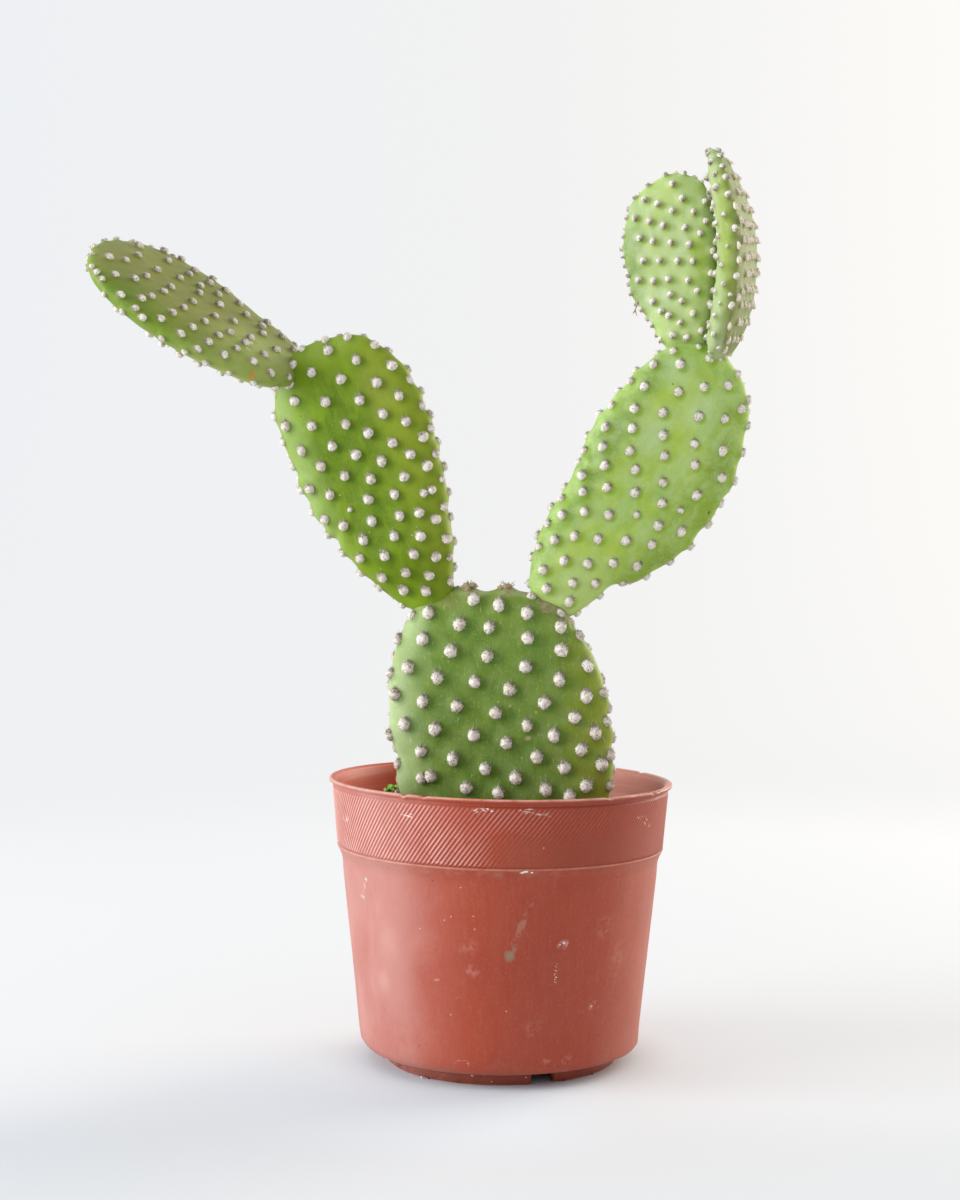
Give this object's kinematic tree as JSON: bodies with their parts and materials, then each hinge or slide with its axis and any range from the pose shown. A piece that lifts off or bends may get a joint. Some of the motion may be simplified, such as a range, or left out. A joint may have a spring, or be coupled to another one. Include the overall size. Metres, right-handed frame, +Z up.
{
  "type": "potted paddle cactus",
  "caption": "Young paddle cactus with flat tufted pads branching to both sides, standing in a round ribbed-rim plastic nursery pot of soil.",
  "frame": {"origin": "on the pot's axis at the underside of its floor, on the surface the pot stands on", "axes": "+Z up along the pot's axis; the plant's broad side faces -Y; +X to the right as seen from the front"},
  "size_m": [0.2059, 0.1064, 0.2774],
  "materials": {
    "pot_plastic": "matte",
    "soil": "matte",
    "root_wood": "matte",
    "old_skin": "satin",
    "green_skin": "satin",
    "olive_skin": "satin",
    "pale_skin": "satin",
    "young_skin": "satin",
    "leaf": "satin"
  },
  "bodies": {
    "root": {"pot": "pot_plastic", "potting_soil": "soil", "root_crown": "root_wood", "base_pad": "old_skin", "left_pad": "green_skin", "left_upper_pad": "olive_skin", "right_pad": "pale_skin", "upper_left_pad": "young_skin", "upper_right_pad": "young_skin", "seedling": "leaf"}
  },
  "joints": []
}
